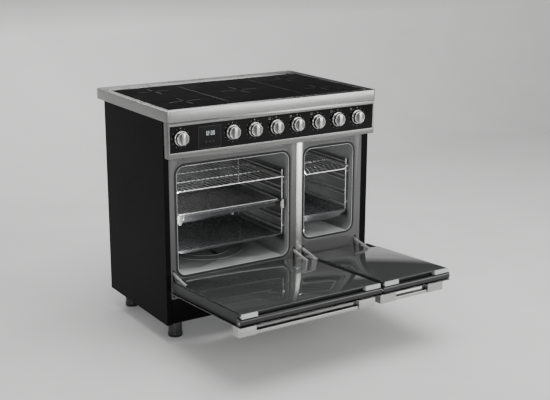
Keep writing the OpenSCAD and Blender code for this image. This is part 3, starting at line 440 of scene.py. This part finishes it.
def loop_tube(bm, path, y, wide, tall, segments=10):
    """A closed rope or bead that follows the path; wide lies in the frame, tall stands out of it."""
    rings = []
    for x, z, nx, nz in path:
        ring = []
        for k in range(segments):
            a = 2 * math.pi * k / segments
            out, up = wide / 2 * math.cos(a), tall / 2 * math.sin(a)
            ring.append(bm.verts.new(((x + nx * out) * MM, (y + up) * MM, (z + nz * out) * MM)))
        rings.append(ring)
    for i, ring in enumerate(rings):
        after = rings[(i + 1) % len(rings)]
        for k in range(segments):
            bm.faces.new((ring[k], ring[(k + 1) % segments], after[(k + 1) % segments], after[k]))
    bmesh.ops.recalc_face_normals(bm, faces=bm.faces)


def lathe(bm, profile, centre, turns, ridge, second_from):
    """Turns (radius, y) steps in millimetres around an axis that runs front to back.

    The steps in ridge are notched like a coin's rim; from second_from on, faces take the second material.
    """
    notch = 0.45
    rings = []
    for k, (r, y) in enumerate(profile):
        ring = []
        for i in range(turns):
            a = 2 * math.pi * i / turns
            out = r + (notch * math.cos(i * math.pi) if k in ridge else 0)
            ring.append(bm.verts.new(((centre[0] + out * math.cos(a)) * MM, y * MM,
                                      (centre[1] + out * math.sin(a)) * MM)))
        rings.append(ring)
    for k, (ring, after) in enumerate(zip(rings, rings[1:])):
        for i in range(turns):
            j = (i + 1) % turns
            bm.faces.new((ring[i], ring[j], after[j], after[i])).material_index = int(k >= second_from)
    bm.faces.new(rings[0])
    bm.faces.new(list(reversed(rings[-1]))).material_index = int(len(rings) > second_from)


# ------------------------------------------------------------------ what repeats, in Geometry Nodes
def repeat_tree(name, sockets):
    """An empty Geometry Nodes tree, the sockets of its named inputs, and its last node."""
    tree = bpy.data.node_groups.new(name, "GeometryNodeTree")
    tree.interface.new_socket("Geometry", in_out="OUTPUT", socket_type="NodeSocketGeometry")
    for label, kind in sockets:
        tree.interface.new_socket(label, in_out="INPUT", socket_type=kind)
    given, out = tree.nodes.new("NodeGroupInput"), tree.nodes.new("NodeGroupOutput")
    return tree, given.outputs, out


def bars_tree():
    """A row of equal bars: first place, step, number, size of one, finish."""
    tree, given, out = repeat_tree("row_of_bars", (
        ("First Place", "NodeSocketVector"), ("Step", "NodeSocketVector"), ("Number", "NodeSocketInt"),
        ("Bar Size", "NodeSocketVector"), ("Finish", "NodeSocketMaterial")))
    line = add(tree, "GeometryNodeMeshLine", {"Count": given["Number"], "Offset": given["Step"],
                                              "Start Location": given["First Place"]})
    bar = add(tree, "GeometryNodeMeshCube", {"Size": given["Bar Size"]})
    laid = add(tree, "GeometryNodeInstanceOnPoints", {"Points": line.outputs["Mesh"],
                                                      "Instance": bar.outputs["Mesh"]})
    real = add(tree, "GeometryNodeRealizeInstances", {"Geometry": laid.outputs["Instances"]})
    done = add(tree, "GeometryNodeSetMaterial", {"Geometry": real.outputs["Geometry"],
                                                 "Material": given["Finish"]})
    tree.links.new(done.outputs["Geometry"], out.inputs["Geometry"])
    return tree


def heads_tree():
    """A screw head, plug or printed dot on each point: radii, height, which way it looks, finish."""
    tree, given, out = repeat_tree("heads_on_points", (
        ("Points", "NodeSocketGeometry"), ("Radius", "NodeSocketFloat"), ("Top Radius", "NodeSocketFloat"),
        ("Height", "NodeSocketFloat"), ("Turn", "NodeSocketVector"), ("Finish", "NodeSocketMaterial")))
    head = add(tree, "GeometryNodeMeshCone", {"Vertices": 20, "Radius Top": given["Top Radius"],
                                              "Radius Bottom": given["Radius"], "Depth": given["Height"]})
    laid = add(tree, "GeometryNodeInstanceOnPoints", {"Points": given["Points"],
                                                      "Instance": head.outputs["Mesh"],
                                                      "Rotation": given["Turn"]})
    real = add(tree, "GeometryNodeRealizeInstances", {"Geometry": laid.outputs["Instances"]})
    done = add(tree, "GeometryNodeSetMaterial", {"Geometry": real.outputs["Geometry"],
                                                 "Material": given["Finish"]})
    tree.links.new(done.outputs["Geometry"], out.inputs["Geometry"])
    return tree


BARS, HEADS = bars_tree(), heads_tree()


def repeated(name, tree, body, values, points=(), replaces=()):
    """Runs a tree on points, keeps the result as a plain mesh, and lets it ride on a body."""
    mesh = bpy.data.meshes.new(name)
    mesh.from_pydata([tuple(p) for p in points], [], [])
    obj = bpy.data.objects.new(name, mesh)
    bpy.context.scene.collection.objects.link(obj)
    modifier = obj.modifiers.new("repeat", "NODES")
    modifier.node_group = tree
    where = {s.name: s.identifier for s in tree.interface.items_tree if s.in_out == "INPUT"}
    for label, value in values.items():
        modifier[where[label]] = value
    made = bpy.data.meshes.new_from_object(obj.evaluated_get(bpy.context.evaluated_depsgraph_get()))
    obj.modifiers.clear()
    obj.data = made
    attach(obj, body)
    if replaces:
        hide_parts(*replaces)


# Which way a head looks: a cone of Geometry Nodes stands on its base and looks up
TO_FRONT = (math.pi / 2, 0, 0)
TO_LEFT, TO_RIGHT = (0, -math.pi / 2, 0), (0, math.pi / 2, 0)


def heads(name, points_mm, radius, height, turn, finish, body, dome=0.72):
    """Screw heads, plugs or dots at points in millimetres; dome is a top's radius against its foot's."""
    repeated(name, HEADS, body, {
        "Radius": radius * MM, "Top Radius": radius * dome * MM, "Height": height * MM,
        "Turn": turn, "Finish": finish}, [Vector(p) * MM for p in points_mm])


# ------------------------------------------------------------------ worktop and hob
# The worktop and the surround take the darker copies of the steel: painted shade
softened("worktop_frame", 1.6 * MM, WORKTOP, 3)
softened("control_surround", 0.7 * MM, SURROUND)
# The centre strip takes the paler steel: painted highlight
softened("centre_strip", 0.6 * MM, STEEL_Z)


def hob_marks():
    """Thin printed marks: a cross in each corner's zone, a larger one in the middle, and two long lines."""
    low, high = (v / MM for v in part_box("hob_glass"))
    top = high.z
    side_in, front_in, rear_in = 129.5, 129.5, 104.5  # zone centres from the glass's edges
    gap, arm, large_arm, half = 14, 62, 80, 0.8  # a cross: open middle, reach, and half a line's width
    line_in, line_end, half_line = 262, 40, 0.7  # the two long lines beside the middle zone
    bm = bmesh.new()

    def stroke(x0, x1, y0, y1):
        block(bm, (x0, y0, top - 0.05), (x1, y1, top + 0.08))

    def cross(x, y, reach):
        for s in (-1, 1):
            stroke(x + s * gap, x + s * reach, y - half, y + half)
            stroke(x - half, x + half, y + s * gap, y + s * reach)

    for y in (low.y + front_in, high.y - rear_in):
        for x in (low.x + side_in, high.x - side_in):
            cross(x, y, arm)
    for x in (low.x + line_in, high.x - line_in):
        stroke(x - half_line, x + half_line, low.y + line_end, high.y - line_end)
    cross((low.x + high.x) / 2, (low.y + high.y) / 2, large_arm)
    piece("hob_zone_marks", bm, ZONE_PRINT, "cooker", smooth=0)


hob_marks()


# ------------------------------------------------------------------ control panel
FASCIA_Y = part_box("control_fascia")[0].y / MM
KNOBS = {}
for number in range(1, 9):
    low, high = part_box("knob_%d" % number)
    KNOBS[number] = ((low.x + high.x) / 2 / MM, (low.z + high.z) / 2 / MM)
ZONE_KNOBS = (4, 5, 6, 7, 8)  # the ones for the hob's zones


def dial(number):
    """Turned steel knob: ridged skirt, drum with a dished face, and a bar across it."""
    x, z = KNOBS[number]
    y = FASCIA_Y - 0.4
    bm = bmesh.new()
    skirt = [(8, y), (26.2, y), (27.0, y - 0.8), (27.0, y - 4.2), (26.2, y - 5.2), (24.4, y - 5.6)]
    drum = [(23.6, y - 6.4), (23.5, y - 7.4), (23.0, y - 17.6), (22.5, y - 18.9), (21.6, y - 19.5)]
    # The dish takes the darker steel: painted shade
    dish = [(20.4, y - 19.4), (16, y - 17.6), (8, y - 16.2), (0.5, y - 16.0)]
    lathe(bm, skirt + drum + dish, (x, z), 96, ridge=(2, 3), second_from=len(skirt + drum))
    # The bar that fingers turn, a lug on the skirt, and last the black pointer line on the bar
    block(bm, (x - 6, y - 25.6, z - 20.4), (x + 6, y - 15, z + 20.4), 1.6, 3)
    block(bm, (x - 26.5, y - 8.2, z - 2.4), (x - 21, y - 4, z + 2.4), 0.8)
    block(bm, (x - 0.7, y - 25.75, z + 6), (x + 0.7, y - 25.5, z + 19))
    for face in bm.faces[-6:]:
        face.material_index = 2
    bmesh.ops.recalc_face_normals(bm, faces=bm.faces)
    made = piece("dial_%d_turned" % number, bm, SPUN, "dial_%d" % number,
                 ("knob_%d" % number,), 40)
    made.data.materials.append(DISH)
    made.data.materials.append(FINISH["black_plastic"])


for number in KNOBS:
    dial(number)


def scale_dots():
    """Printed dots around each knob: eleven small ones, and a larger one at the top for off."""
    small, large = [], []
    y, ring, off_ring, count, first, step = FASCIA_Y + 0.05, 34.5, 35.5, 11, 64, 30.8
    for x, z in KNOBS.values():
        for k in range(count):
            a = math.radians(first - k * step)
            small.append((x + ring * math.cos(a), y, z + ring * math.sin(a)))
        large.append((x, y, z + off_ring))
    # Four dots at the upper left of each zone knob
    left, above, pitch = 31, 30, 5
    symbols = [(KNOBS[n][0] - left + i * pitch, y, KNOBS[n][1] + above + k * pitch)
               for n in ZONE_KNOBS for i in (0, 1) for k in (0, 1)]
    for name, dots, radius in (("scale_dots", small, 0.9), ("off_dots", large, 1.5),
                               ("zone_symbols", symbols, 1.2)):
        heads(name, dots, radius, 0.18, TO_FRONT, PRINT, "cooker", dome=1.0)


scale_dots()


def timer():
    """Four lit digits and a colon behind the timer's glass, a thin printed line and three dots."""
    low, high = (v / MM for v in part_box("timer_display"))
    y = low.y - 0.02
    bm = bmesh.new()

    def stroke(x0, x1, z0, z1):
        block(bm, (x0, y - 0.1, z0), (x1, y + 0.1, z1))

    lit = {"1": "bc", "2": "abged", "3": "abgcd", "0": "abcdef"}
    w, h, t = 6.6, 14.5, 1.5  # a digit's width, height and stroke
    pitch, colon = 9.4, 3.4  # from digit to digit, and room for the colon
    x0, z0 = (low.x + high.x) / 2 - 19, low.z + 47  # the first digit's lower left corner
    for i, digit in enumerate("1230"):
        x = x0 + i * pitch + (colon if i > 1 else 0)
        place = {"a": (x, x + w, z0 + h - t, z0 + h),
                 "g": (x, x + w, z0 + h / 2 - t / 2, z0 + h / 2 + t / 2),
                 "d": (x, x + w, z0, z0 + t), "f": (x, x + t, z0 + h / 2, z0 + h),
                 "e": (x, x + t, z0, z0 + h / 2), "b": (x + w - t, x + w, z0 + h / 2, z0 + h),
                 "c": (x + w - t, x + w, z0, z0 + h / 2)}
        for part in lit[digit]:
            stroke(*place[part])
    outline = bmesh.new()
    o, i = 2, 2.8  # the printed line's outer and inner edge, from the window's edge
    for a, b, c, d in ((low.x + o, high.x - o, low.z + o, low.z + i),
                       (low.x + o, high.x - o, high.z - i, high.z - o),
                       (low.x + o, low.x + i, low.z + i, high.z - i),
                       (high.x - i, high.x - o, low.z + i, high.z - i)):
        block(outline, (a, y - 0.08, c), (b, y + 0.1, d))
    piece("timer_outline", outline, ZONE_PRINT, "cooker", smooth=0)
    for share in (0.3, 0.65):  # the colon's two dots
        stroke(x0 + 18.9, x0 + 20.3, z0 + h * share, z0 + h * share + 1.4)
    piece("timer_digits", bm, DIGITS, "cooker", smooth=0)
    cx = (low.x + high.x) / 2
    heads("timer_touch_dots", [(cx + k * 15, y, low.z + 24) for k in (-1, 0, 1)], 2.0, 0.15,
          TO_FRONT, ZONE_PRINT, "cooker", dome=1.0)


timer()


# ------------------------------------------------------------------ oven fronts and liners
MOUTH_IN, MOUTH_R = 10.5, 30.0  # the opening's edge from the seal's outer edge, and its corner radius


def around(node, out, radius):
    """A rounded path that lies out millimetres outside the oven opening inside a seal."""
    low, high = (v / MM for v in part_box(node))
    x0, x1, z0, z1 = low.x + MOUTH_IN, high.x - MOUTH_IN, low.z + MOUTH_IN, high.z - MOUTH_IN
    return rounded_path(x0 - out, x1 + out, z0 - out, z1 + out, radius)


for oven in ("main", "side"):
    seal = oven + "_gasket"
    softened(oven + "_front_frame", 0.6 * MM)
    # The liner's corners are round already: they are only shaded smooth
    liner = bmesh.new()
    liner.from_mesh(NODES[oven + "_cavity"].data)
    bmesh.ops.remove_doubles(liner, verts=liner.verts, dist=WELD)
    walls = piece(oven + "_liner_smooth", liner, LINER, "cooker", (oven + "_cavity",), 35).data
    # Flat walls stay flat up to their edges, so that the pressed rings don't shade the whole floor
    flat, sides = 0.9999, {}
    for face in walls.polygons:
        for key in face.edge_keys:
            sides.setdefault(key, set()).add(max(abs(c) for c in face.normal) > flat)
    for edge in walls.edges:
        if len(sides[edge.key]) == 2:
            edge.use_edge_sharp = True
    rope = bmesh.new()
    loop_tube(rope, around(seal, 6.5, MOUTH_R + 6.5), FRONT_MM - 1.3, wide=7.4, tall=2.8)
    piece(oven + "_rope_seal", rope, FINISH["seal"], "cooker", (seal,), 60)
    # A rolled lip around the opening, in the paler enamel: painted highlight
    lip = bmesh.new()
    loop_tube(lip, around(seal, 1.2, MOUTH_R + 1.2), FRONT_MM - 0.2, wide=2.4, tall=1.6)
    piece(oven + "_mouth_lip", lip, LIP, "cooker", smooth=60)
    # A fine bead pressed into the frame around the seal
    bead = bmesh.new()
    loop_tube(bead, around(seal, 15.5, 44), FRONT_MM + 0.3, wide=4.4, tall=1.8)
    piece(oven + "_frame_bead", bead, FINISH["grey_enamel"], "cooker", smooth=60)


# Two small plugs side by side in the centre strip
low, high = (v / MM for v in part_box("centre_strip"))
plug_z, half_apart = 446, 3
heads("strip_plugs", [((low.x + high.x) / 2 + s * half_apart, low.y - 0.1, plug_z) for s in (-1, 1)],
      1.5, 0.4, TO_FRONT, FINISH["black_plastic"], "cooker")


# ------------------------------------------------------------------ doors
def door(name):
    """Rounded casing parts of a door, its corner plates, printed glass borders and small screws."""
    body = name + "_door"
    softened(name + "_handle", 1.2 * MM, STEEL_X, 3)
    softened(name + "_inner_glass", 0.7 * MM, HAZY_GLASS)
    # The strip behind the handle is round where the hand meets it
    low, high = closed_box(name + "_door_trim")
    r, outline = 9.5, [(low.y, low.z), (high.y, low.z)]
    for cy, start in ((high.y - r, 0), (low.y + r, 90)):
        turns = [math.radians(start + a) for a in range(0, 91, 9)]
        outline += [(cy + r * math.cos(a), high.z - r + r * math.sin(a)) for a in turns]
    strip = bmesh.new()
    ends = [[strip.verts.new((x * MM, y * MM, z * MM)) for y, z in outline] for x in (low.x, high.x)]
    strip.faces.new(ends[0])
    strip.faces.new(ends[1])
    for i in range(len(outline)):
        j = (i + 1) % len(outline)
        strip.faces.new((ends[0][i], ends[0][j], ends[1][j], ends[1][i]))
    bmesh.ops.recalc_face_normals(strip, faces=strip.faces)
    strip.transform(OPENED)
    piece(name + "_door_strip", strip, FINISH["black_plastic"], body,
          (name + "_door_trim",))
    softened(name + "_door_glass", 1.0 * MM)
    casing = softened(name + "_door_frame", 1.2 * MM, DOOR_METAL)
    # Pale plates on the two upper corners of the casing
    casing.data.materials.append(PLATE)
    low, high = closed_box(name + "_door_frame")
    plate_tall, plate_wide = 19, 64
    for face in casing.data.polygons:
        centre = SHUT @ face.center / MM
        if centre.z > high.z - plate_tall and min(centre.x - low.x, high.x - centre.x) < plate_wide:
            face.material_index = 1
    # Two screws at each end of the casing's upper edge
    for s, turn, edge in ((-1, TO_LEFT, low.x), (1, TO_RIGHT, high.x)):
        places = [(edge + s * 0.4, FRONT_MM - 13, high.z - 5), (edge + s * 6.4, FRONT_MM - 33, high.z - 5)]
        heads("%s_end_screws_%s" % (name, "left" if s < 0 else "right"),
              [OPENED @ (Vector(p) * MM) / MM for p in places], 3.0, 1.4, turn,
              FINISH["bright_wire"], body)
    glass_low, glass_high = closed_box(name + "_inner_glass")
    under = glass_low.y - 0.15
    border = bmesh.new()
    wide, bottom, top = 46, 100, 40  # how far the black print reaches in from each edge
    inset, film = 0.3, 0.12
    x0, x1, z0, z1 = glass_low.x, glass_high.x, glass_low.z, glass_high.z
    # The glass is notched at its foot, where the hinge receivers stand when the door is shut
    shut = [SHUT @ v.co / MM for v in NODES[name + "_inner_glass"].data.vertices]
    notch = min(p.z for p in shut if p.x < x0 + 1)
    foot = [f(p.x for p in shut if p.z < z0 + 1) for f in (min, max)]
    for low_corner, high_corner in (((foot[0], z0), (foot[1], notch)), ((x0, notch), (x1, z0 + bottom)),
                                    ((x0, z1 - top), (x1, z1)),
                                    ((x0, z0 + bottom), (x0 + wide, z1 - top)),
                                    ((x1 - wide, z0 + bottom), (x1, z1 - top))):
        block(border, (low_corner[0] + inset, under, low_corner[1] + inset),
              (high_corner[0] - inset, under + film, high_corner[1] - inset))
    border.transform(OPENED)
    piece(name + "_glass_border", border, BLACK_PRINT, body, smooth=0)


for name in ("main", "side"):
    door(name)
softened("storage_flap", 1.0 * MM)
for tray in ("roasting_tray", "baking_tray", "side_tray"):
    softened(tray, 0.5 * MM)
softened("feet", 0.8 * MM, FINISH["black_plastic"])
for node, mat in {"control_fascia": FASCIA, "fan_cover": LINER, "frame_screws": SCREW,
                  # The hinges take the paler hinge steel: painted highlight
                  "main_hinges": ZINC_ARM, "side_hinges": ZINC_ARM,
                  # The racks take the paler rack wire: painted highlight
                  "main_racks": RACK_WIRE, "side_racks": RACK_WIRE}.items():
    NODES[node].data.materials[0] = mat


def runner_grid():
    """Fine wire grid over the runner tray, in a frame of thicker wire."""
    low, high = (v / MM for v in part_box("tray_mesh"))
    middle = (low + high) / 2
    rim_d, wire_d, along, across = 2.6, 0.7, 33, 29  # wires in mm, and how many run each way
    rim = bmesh.new()
    for x0, x1, y0, y1 in ((low.x, high.x, low.y, low.y + rim_d), (low.x, high.x, high.y - rim_d, high.y),
                           (low.x, low.x + rim_d, low.y + 2.8, high.y - 2.8),
                           (high.x - rim_d, high.x, low.y + 2.8, high.y - 2.8)):
        block(rim, (x0, y0, high.z - rim_d), (x1, y1, high.z), 1.0)
    # The grid's rim takes the paler rack wire: painted highlight
    piece("grid_rim_wire", rim, RACK_WIRE, "runner_tray", ("tray_mesh",), 60)
    # The fine wires take the darker grid wire: painted shade
    rows = {"grid_long_wires": (along, (low.x + 1, middle.y, high.z - 0.8),
                                ((high.x - low.x - 2) / (along - 1), 0, 0), (wire_d, high.y - low.y, wire_d)),
            "grid_cross_wires": (across, (middle.x, low.y + 1, low.z + 1.2),
                                 (0, (high.y - low.y - 2) / (across - 1), 0),
                                 (high.x - low.x, wire_d, wire_d))}
    for name, (count, first, step, wire) in rows.items():
        repeated(name, BARS, "runner_tray", {
            "First Place": [c * MM for c in first], "Step": [c * MM for c in step], "Number": count,
            "Bar Size": [c * MM for c in wire], "Finish": GRID_WIRE}, replaces=("tray_mesh",))


runner_grid()
